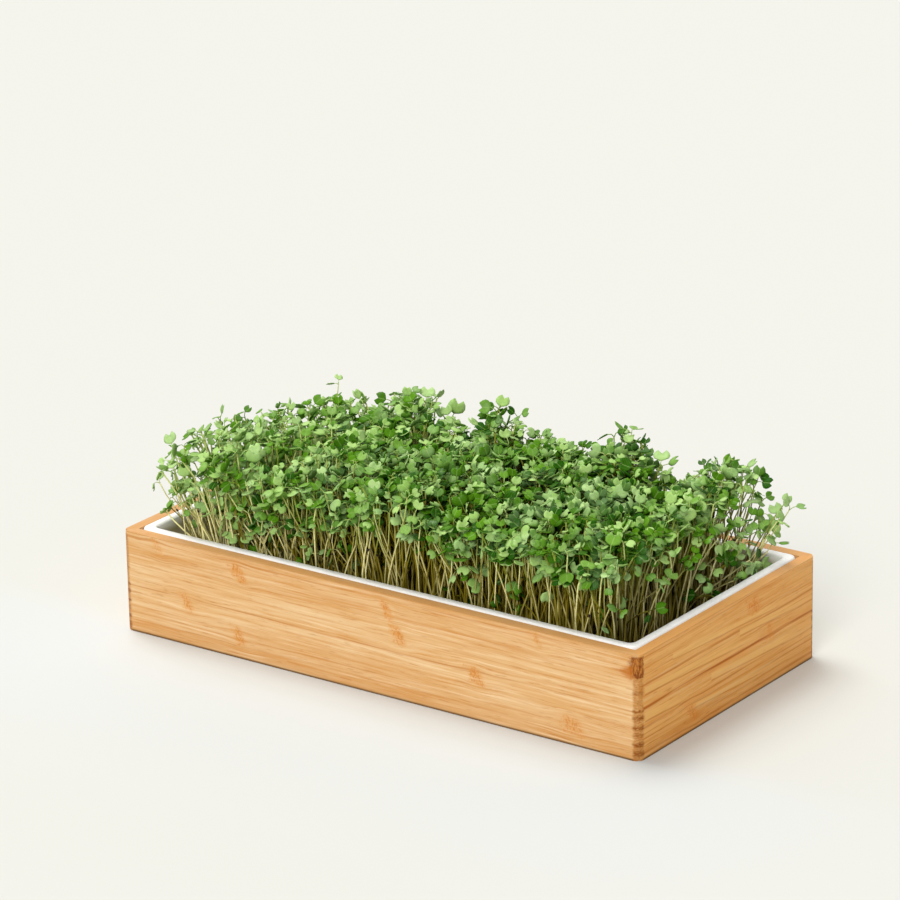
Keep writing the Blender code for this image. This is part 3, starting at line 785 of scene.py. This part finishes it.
def bent(points, path, radii):
    """Wrap a unit strand round a path of points, with a radius at each."""
    share = points[:, 2] * (len(path) - 1)
    first = np.minimum(share.astype(int), len(path) - 2)
    rest = (share - first)[:, None]
    centre = path[first] * (1 - rest) + path[first + 1] * rest
    slopes = np.gradient(path, axis=0)
    slopes /= np.linalg.norm(slopes, axis=1)[:, None]
    tangent = slopes[first] * (1 - rest) + slopes[first + 1] * rest
    tangent /= np.linalg.norm(tangent, axis=1)[:, None]
    side = np.cross(tangent, (0.31, 0.95, 0.05) if abs(slopes[0][1]) < 0.9 else (0.95, 0.31, 0.05))
    side /= np.linalg.norm(side, axis=1)[:, None]
    other = np.cross(tangent, side)
    radius = (radii[first][:, None] * (1 - rest) + radii[first + 1][:, None] * rest)
    return centre + (side * points[:, :1] + other * points[:, 1:2]) * radius


def curve(points, count):
    """Points along a cubic curve with four handles."""
    t = np.linspace(0, 1, count)[:, None]
    a, b, c, d = [np.asarray(point, float) for point in points]
    return a * (1 - t) ** 3 + b * 3 * t * (1 - t) ** 2 + c * 3 * t ** 2 * (1 - t) + d * t ** 3


def on_mat(high, margin):
    room_x = high.x - margin
    room_y = high.y - margin
    return dice.uniform(-room_x, room_x), dice.uniform(-room_y, room_y)


def make_fibres(high):
    """Loose coir fibres that lie curled on the mat."""
    strand, faces = strand_shape(3, 2)
    fibres = Heap()
    for _ in range(FIBRES):
        x, y = on_mat(high, LITTER_MARGIN)
        turn = dice.uniform(0, math.tau)
        length = dice.uniform(*FIBRE_LENGTHS)
        along = Vector((math.cos(turn), math.sin(turn), 0))
        aside = Vector((-along.y, along.x, 0)) * dice.uniform(-0.4, 0.4) * length
        start = Vector((x, y, high.z - 0.0006))
        rise = Vector((0, 0, dice.uniform(*FIBRE_RISES)))
        end = start + along * length
        for axis in (0, 1):
            edge = high[axis] - MAT_MARGIN
            end[axis] = clamp(end[axis], -edge, edge)
        reach = along * length * 0.3
        path = curve((start, start + reach + rise + aside, end + rise - reach, end), 5)
        fibres.add(bent(strand, path, np.full(5, dice.uniform(*FIBRE_RADII))), faces)
    finish = strand_finish("coir_fibre", linear(110, 76, 42), linear(182, 140, 92), 0.8)
    settle(fibres.build("mat_fibres", finish), "coir")


def pebble_shape():
    """A small lump, narrower at one side and flatter below."""
    made = add_primitive(bpy.ops.mesh.primitive_ico_sphere_add, "pebble", subdivisions=1, radius=1.0)
    edit(made)
    choose(made, lambda m: m.x > 0.5)
    bpy.ops.transform.resize(value=(0.8, 0.7, 0.7))
    shift(made, (lambda m: m.z < -0.5, (0.1, 0.0, 0.25)))
    leave_edit()
    return read_shape(made)


def make_crumbs(high, pebble):
    """Crumbs of pith on the mat."""
    lump, faces = pebble
    crumbs = Heap()
    for _ in range(CRUMBS):
        x, y = on_mat(high, LITTER_MARGIN)
        size = np.array([dice.uniform(*sizes) for sizes in CRUMB_SIZES])
        points = tumbled(lump * size, 0.5, 0.5)
        crumbs.add(points + (x, y, high.z + dice.uniform(-0.0004, 0.0006)), faces)
    finish = strand_finish("coir_pith", linear(96, 44, 26), linear(150, 82, 48), 0.9)
    settle(crumbs.build("mat_crumbs", finish), "coir")


# ---- sprouts


def leaf_shape(notch, cup, fold, breadth):
    """A seed leaf of unit length: heart-shaped, dished and folded a little along its middle."""
    made = add_primitive(bpy.ops.mesh.primitive_circle_add, "leaf", vertices=12, radius=0.5,
                         fill_type="TRIFAN", location=(0.5, 0, 0))
    bpy.ops.object.transform_apply(location=True, rotation=True, scale=True)
    edit(made)
    select_all()
    bpy.ops.mesh.inset(thickness=0.19)
    select_all()
    bpy.ops.transform.resize(value=(1.0, breadth, 1.0), center_override=(0, 0, 0))
    shift(made,
          (lambda m: m.x > 0.98 and abs(m.y) < 0.01, (-notch, 0, 0)),
          (lambda m: 0.7 < m.x < 0.97 and abs(m.y) < 0.01, (-notch * 0.35, 0, 0)),
          (lambda m: m.x > 0.85 and abs(m.y) > 0.15, (0.05, 0, 0)),
          (lambda m: m.x < 0.12 and abs(m.y) > 0.1, (0.05, 0, 0)),
          (lambda m: (m.x - 0.5) ** 2 + (m.y / breadth) ** 2 < 0.16, (0, 0, -cup)),
          (lambda m: abs(m.y) < 0.01, (0, 0, -fold)))
    leave_edit()
    apply_modifier(made, "SOLIDIFY", thickness=LEAF_THICKNESS, offset=0.0)
    edit(made)
    choose(made, lambda m: abs(m.x - 0.5) < 0.05 and abs(m.y) < 0.05 and m.z < -cup - fold)
    bpy.ops.mesh.select_more()
    bpy.ops.mesh.merge(type="CENTER")       # fewer faces below, where they hardly show
    bpy.ops.transform.translate(value=(0, 0, -fold))
    leave_edit()
    points, faces = read_shape(made)
    return points, faces, leaf_underside(points, faces)


def leaf_underside(points, faces):
    """1 for each point that belongs to faces looking down, else 0."""
    down = np.zeros(len(points))
    total = np.zeros(len(points))
    for face in faces:
        corners = points[list(face)]
        normal = np.cross(corners[1] - corners[0], corners[2] - corners[1])
        if abs(normal[2]) < 0.3 * np.linalg.norm(normal):
            continue
        for corner in face:
            total[corner] += 1
            down[corner] += normal[2] < 0
    return (down > total * 0.5).astype(float)


def canopy_height(x, y):
    """Height of the leaves above the mat at a place, with the crop's mounds and dips."""
    level = CROP_HEIGHT + rough((x, y, 0.3), 0.022, 0.007)
    for place_x, place_y, width, rise in MOUNDS:
        away = Vector((x - place_x, y - place_y)) @ Matrix.Rotation(MOUND_TURN, 2)
        level += rise * math.exp(-(away.x / width) ** 2 - (away.y / (width + MOUND_RUN)) ** 2)
    level -= 0.003 * max(0.0, (-y - 0.045) / 0.03)
    return level


def growth_levels(points, top, tone, leafy, under):
    """Per point: a tone, how leafy it is, the leaf's underside, and the painted shade of its place."""
    below = (top - points[:, 2]) / SHADE_BELOW
    x = points[:, 0]
    inside = np.minimum(np.minimum((CROP_LENGTH + x) / SHADE_LEFT, (CROP_LENGTH - x) / SHADE_RIGHT),
                        0.2 + (CROP_WIDTH - np.abs(points[:, 1])) / SHADE_SIDES)
    # Painted shade: darker below the local top of the leaves, and farther in from the crop's edges.
    painted_dimness = np.clip(below, 0.0, 1.0) * (0.1 + 0.9 * np.clip(inside, 0.0, 1.0))
    return np.column_stack([np.broadcast_to(level, len(points)) for level in (tone, leafy, under, painted_dimness)])


def held_in(point, spread):
    """Keep a crown inside the tray while it is low, and near the frame's outline higher up."""
    share = clamp((point.z - spread - RIM_TOP) / 0.03, 0.0, 1.0)
    room_x = INNER_LENGTH - spread + (0.006 if point.x < 0 else 0.009) * share
    room_y = INNER_WIDTH - spread + 0.01 * share
    return Vector((clamp(point.x, -room_x, room_x), clamp(point.y, -room_y, room_y), point.z))


class Crop:
    """Shapes shared by all sprouts, and the mesh of one tuft after another."""

    def __init__(self, high, material, hull):
        self.high = high
        self.material = material
        self.leaves = [leaf_shape(*values) for values in LEAF_SHAPES]
        self.stem = strand_shape(4, 5)
        self.petiole = strand_shape(3, 1)
        self.hulls = Heap()
        self.hull = hull

    def sprout(self, heap, x, y):
        """One sprout in its place in the crop."""
        share_x = x / self.high.x
        share_y = y / self.high.y
        left = max(-share_x, 0.0)
        # Painted light: leaves at the crop's left end draw paler tones, as if lit through from behind.
        tone = dice.random() ** (1.0 - 0.68 * left)
        depth = CANOPY_DEPTH + CANOPY_DEPTH * min(left * 1.5, 1.0)
        full = canopy_height(x, y)
        height = full * (1.0 - depth * dice.random() ** 1.5)
        outward = LEAN_LEFT if share_x < 0 else LEAN_RIGHT + LEAN_BACK * max(share_y, 0.0)
        lean = Vector((outward * share_x ** 3 * dice.uniform(0.2, 1.2), LEAN_SIDES * share_y ** 3, 0))
        free = LEAN_FREE
        chance = dice.random()
        if chance < STRAYS:
            free = STRAY_LEAN
            height *= dice.uniform(0.7, 0.92)
        elif chance < (LOW_LEFT if share_x < -0.3 else LOW):
            height *= dice.uniform(0.34, 0.78)
        elif FALLEN[0] < chance < FALLEN[1]:
            free = FALLEN_LEAN
            height *= dice.uniform(0.45, 0.7)
        elif chance > TALL:
            height += dice.uniform(0.003, 0.007)
        lean += astray(free)
        lean += Vector((rough((x, y, 1.7), 0.016, 0.01), rough((x, y, 5.1), 0.016, 0.01), 0))
        size = LEAF_SIZE * dice.triangular(0.62, 1.48, 0.95)
        root = Vector((x, y, self.high.z - ROOT_DEPTH))
        crown = held_in(root + lean + Vector((0, 0, height - size)), size * LEAF_ROOM)
        crown.z -= max(0.0, *(fall * (way_x * crown.x + way_y * crown.y - start)
                              for fall, way_x, way_y, start in SLOPES))
        for axis in (0, 1):
            edge = self.high[axis] - MAT_MARGIN
            root[axis] += dice.uniform(-ROOT_SPREAD, ROOT_SPREAD)
            root[axis] = edge - abs(edge - root[axis])
            root[axis] = abs(root[axis] + edge) - edge
        self.grow(heap, root, crown, size, tone, root.z + full)

    def grow(self, heap, root, crown, size, tone, top):
        """A wavy stem from root to crown, two leaves on short stalks and perhaps a seed hull."""
        height = crown.z + size - root.z
        lean = Vector((crown.x - root.x, crown.y - root.y, 0))
        sway = astray(1) * dice.uniform(*STEM_SWAY)
        path = curve((root, root + lean * 0.05 + sway + Vector((0, 0, height * 0.34)),
                      root + lean * 0.7 - sway * 0.8 + Vector((0, 0, height * 0.66)), crown), STEM_POINTS)
        path += np.array([astray(STEM_WAVE) for _ in path])
        thick = STEM_RADIUS * dice.uniform(0.82, 1.22)
        points, faces = self.stem
        placed = bent(points, path, thick * np.linspace(1.08, 0.86, STEM_POINTS))
        growth = growth_levels(placed, top, tone, 0.1 * points[:, 2] ** 3, 0.0)
        heap.add(placed, faces, growth, np.zeros((len(points), 2)))
        self.leaf_pair(heap, path, thick, tone, size, top)
        if dice.random() < HULL_SHARE:
            self.drop_hull(path[dice.randrange(1, 7)] + np.array(astray(0.0007)))

    def leaf_pair(self, heap, path, thick, tone, size, top):
        """Two leaves that open from the stem's tip and nod the way it leans."""
        crown = path[-1]
        upward = path[-1] - path[-3]
        upward /= np.linalg.norm(upward)
        nod = Vector((upward[0] * 1.3, upward[1] * 1.3 - 0.25, upward[2]))
        swing = np.array(Vector((0, 0, 1)).rotation_difference(nod).to_matrix())
        facing = dice.uniform(0, math.tau)
        spread = dice.choice(LEAF_ANGLES)
        open_up = dice.triangular(-0.2, 1.15, 0.45)
        for side in (-0.5, 0.5):
            turn = facing + side * spread + dice.uniform(-0.25, 0.25)
            rise = open_up + dice.uniform(-0.22, 0.22)
            out = np.array([math.cos(turn) * math.cos(rise), math.sin(turn) * math.cos(rise), math.sin(rise)])
            stalk = size * dice.uniform(0.25, 0.7)
            base = out * stalk + np.array([0, 0, stalk * 0.25])
            stalk_path = curve(((0, 0, -0.0006), (0, 0, stalk * 0.45), base - out * stalk * 0.4,
                                base + out * size * 0.1), STALK_POINTS) @ swing.T + crown
            points, faces = self.petiole
            placed = bent(points, stalk_path, thick * np.linspace(0.72, 0.5, STALK_POINTS))
            growth = growth_levels(placed, top, tone, 0.25 + 0.55 * points[:, 2], 0.0)
            heap.add(placed, faces, growth, np.zeros((len(points), 2)))
            shape, faces, under = dice.choice(self.leaves)
            own = size * dice.uniform(0.86, 1.1)
            blade = np.column_stack([shape[:, 0], shape[:, 1] / 1.15 + 0.5])
            curl = dice.uniform(-0.05, 0.3)
            shaped = shape.copy()
            shaped[:, 2] -= curl * shape[:, 0] ** 2 + dice.uniform(-0.1, 0.3) * shape[:, 1] ** 2
            placed = turned(shaped * own, turn, -rise + dice.uniform(-0.45, 0.75), dice.gauss(0, 0.42))
            placed = (placed + base) @ swing.T + crown
            leaf_tone = clamp(tone + dice.uniform(-0.25, 0.25), 0.0, 1.0)
            heap.add(placed, faces, growth_levels(placed, top, leaf_tone, 1.0, under), blade)

    def drop_hull(self, at):
        points, faces = self.hull
        size = np.array(HULL_SIZE) * dice.uniform(0.8, 1.3)
        self.hulls.add(tumbled(points * size, 1.2, 1) + at, faces)

    def tuft(self, node):
        """The sprouts that grow from one CAD tuft's tile."""
        corners = np.array([vertex.co for vertex in frame["nodes"][node].data.vertices])
        tile = corners[corners[:, 2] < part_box(node)[0].z + 0.0002]
        x0, y0, _ = tile.min(axis=0)
        x1, y1, _ = tile.max(axis=0)
        heap = Heap()
        columns = round(math.sqrt(SPROUTS_PER_TUFT * (x1 - x0) / (y1 - y0)))
        rows = math.ceil(SPROUTS_PER_TUFT / columns)
        for row in range(rows):
            for column in range(columns):
                offset = 0.25 if row % 2 else -0.25
                x = x0 + (x1 - x0) * (column + 0.5 + offset + dice.uniform(-0.6, 0.6)) / columns
                y = y0 + (y1 - y0) * (row + 0.5 + dice.uniform(-0.55, 0.55)) / rows
                self.sprout(heap, clamp(x, x0 + MAT_MARGIN, x1 - MAT_MARGIN),
                            clamp(y, y0 + MAT_MARGIN, y1 - MAT_MARGIN))
        piece = heap.build(node.replace("seedling_tuft", "sprouts"), self.material)
        settle(piece, "seedling_green", node)


def make_crop(high, hull):
    crop = Crop(high, sprout_finish(), hull)
    for node in sorted(name for name in frame["nodes"] if name.startswith("seedling_tuft")):
        crop.tuft(node)
    apart = Heap()
    for x, y, *crown, size in LONERS:
        root = Vector((x, y, high.z - ROOT_DEPTH))
        crop.grow(apart, root, Vector(crown), size, dice.uniform(0.5, 0.95), high.z)
    settle(apart.build("sprouts_apart", crop.material), "seedling_green")
    for _ in range(HULLS):
        x, y = on_mat(high, 0.003)
        crop.drop_hull(np.array([x, y, high.z + dice.uniform(0.0, 0.0012)]))
    finish = strand_finish("seed_hull", linear(28, 17, 12), linear(62, 34, 22), 0.5)
    settle(crop.hulls.build("seed_hulls", finish), "coir")


# ---- studio


def make_camera():
    camera = bpy.data.objects.new("camera", bpy.data.cameras.new("camera"))
    bpy.context.collection.objects.link(camera)
    aim = (Matrix.Rotation(math.radians(CAMERA_AZIMUTH), 4, "Z")
           @ Matrix.Rotation(math.radians(90 - CAMERA_ELEVATION), 4, "X")
           @ Matrix.Rotation(math.radians(CAMERA_ROLL), 4, "Z"))
    camera.matrix_world = (Matrix.Translation(CAMERA_TARGET) @ aim
                           @ Matrix.Translation((0, 0, CAMERA_DISTANCE)))
    camera.data.sensor_width = 36.0
    camera.data.lens = CAMERA_LENS
    camera.data.clip_end = 100.0
    bpy.context.scene.camera = camera


def make_floor():
    floor = add_primitive(bpy.ops.mesh.primitive_plane_add, "floor", size=60.0)
    paper = Finish("floor_paper", Roughness=0.95, Specular_IOR_Level=0.0)
    x, y = paper.place()[:2]
    # Painted light: in front of the box the floor is painted cooler, cancelling the warm light that the front
    # board throws on it.
    before = paper.step(y, -0.34, -0.11) * paper.step(y, -0.06, -0.1) * paper.step(abs(x), 0.42, 0.16)
    paper.put(Base_Color=paper.mix(before, FLOOR_COLOUR, FLOOR_PAINTED_COOL))
    floor.data.materials.append(paper.material)


def make_light():
    """A sky of two soft glows, and two wide lamps."""
    world = bpy.data.worlds.new("studio")
    bpy.context.scene.world = world
    world.use_nodes = True
    sky = Nodes(world.node_tree)
    spot = sky.node("ShaderNodeTexCoord")
    glows = []
    for side, start, low, high in (
            (SOFTBOX_SIDE, -1.0, SKY_LOW, SKY_HIGH), (BACKDROP_SIDE, 0.6, 0.0, BACKDROP_GLOW)):
        facing = sky.node("ShaderNodeVectorMath", {"operation": "DOT_PRODUCT"},
                          {0: spot, 1: Vector(side).normalized()}, output=1)
        glows.append(sky.node("ShaderNodeMapRange", values={
            "Value": facing, "From Min": start, "To Min": low, "To Max": high}))
    background = world.node_tree.nodes["Background"]
    background.inputs["Color"].default_value = (1.0, 1.0, 1.0, 1.0)
    feed(sky.tree, background.inputs["Strength"], glows[0] + glows[1])
    for number, (towards, energy, width) in enumerate(LAMPS):
        sun = bpy.data.lights.new(f"lamp_{number}", "SUN")
        sun.energy = energy
        sun.angle = math.radians(width)
        sun.color = (1.0, 0.99, 0.97)
        lamp = bpy.data.objects.new(f"lamp_{number}", sun)
        bpy.context.collection.objects.link(lamp)
        lamp.rotation_mode = "QUATERNION"
        lamp.rotation_quaternion = towards.to_track_quat("-Z", "Y")
    bpy.context.scene.view_settings.view_transform = "Standard"


make_camera()
make_floor()
make_light()
make_frame()
make_tray()
mat_corner = make_mat()
make_fibres(mat_corner)
pebble = pebble_shape()
make_crumbs(mat_corner, pebble)
make_crop(mat_corner, pebble)
felt = felt_finish()
for wick in ("wick_left", "wick_right"):
    frame["nodes"][wick].material_slots[0].material = felt
